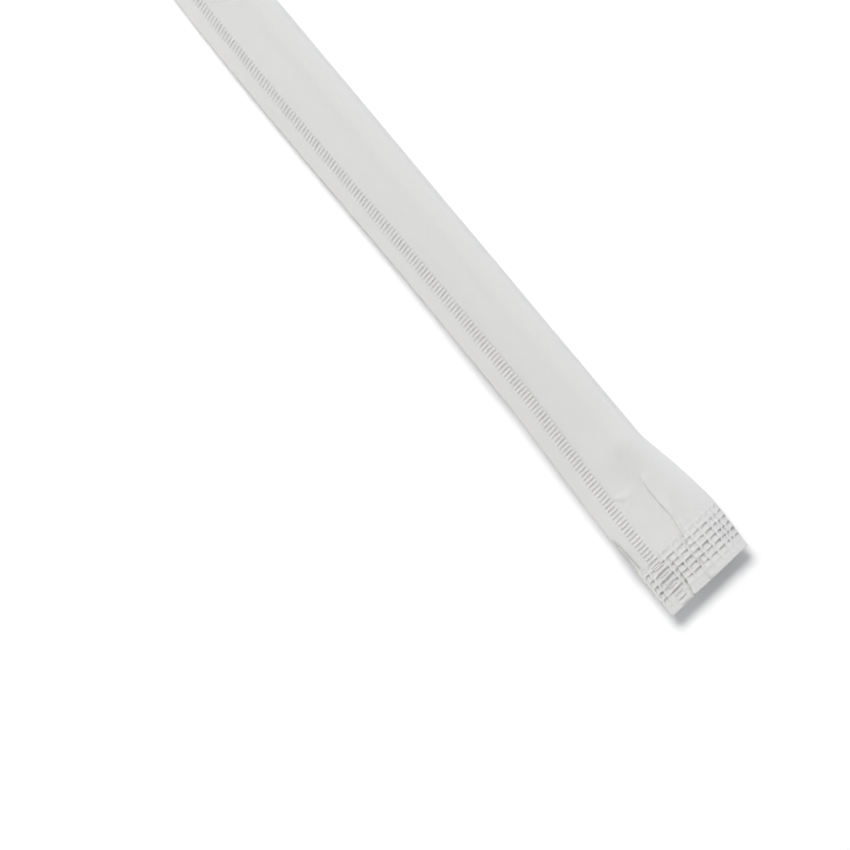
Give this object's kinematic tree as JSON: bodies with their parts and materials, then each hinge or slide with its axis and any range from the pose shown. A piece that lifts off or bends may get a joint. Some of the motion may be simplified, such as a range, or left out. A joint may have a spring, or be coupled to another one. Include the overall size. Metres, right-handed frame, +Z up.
{
  "type": "wrapped drinking straw",
  "caption": "Drinking straw sealed in a white paper sleeve, with a crimped seam along one side and a flat crimped seal at each end.",
  "frame": {"origin": "under the middle of the pack's box, on the surface that it lies on", "axes": "+X along the straw towards the front seal, +Y from the crimped seam towards the fold, +Z up"},
  "size_m": [0.235, 0.0136, 0.0059],
  "materials": {
    "paper": "matte white tissue-weight paper, crimped along its seam and at both ends"
  },
  "bodies": {
    "root": {"wrapped_straw": "paper"}
  },
  "joints": []
}
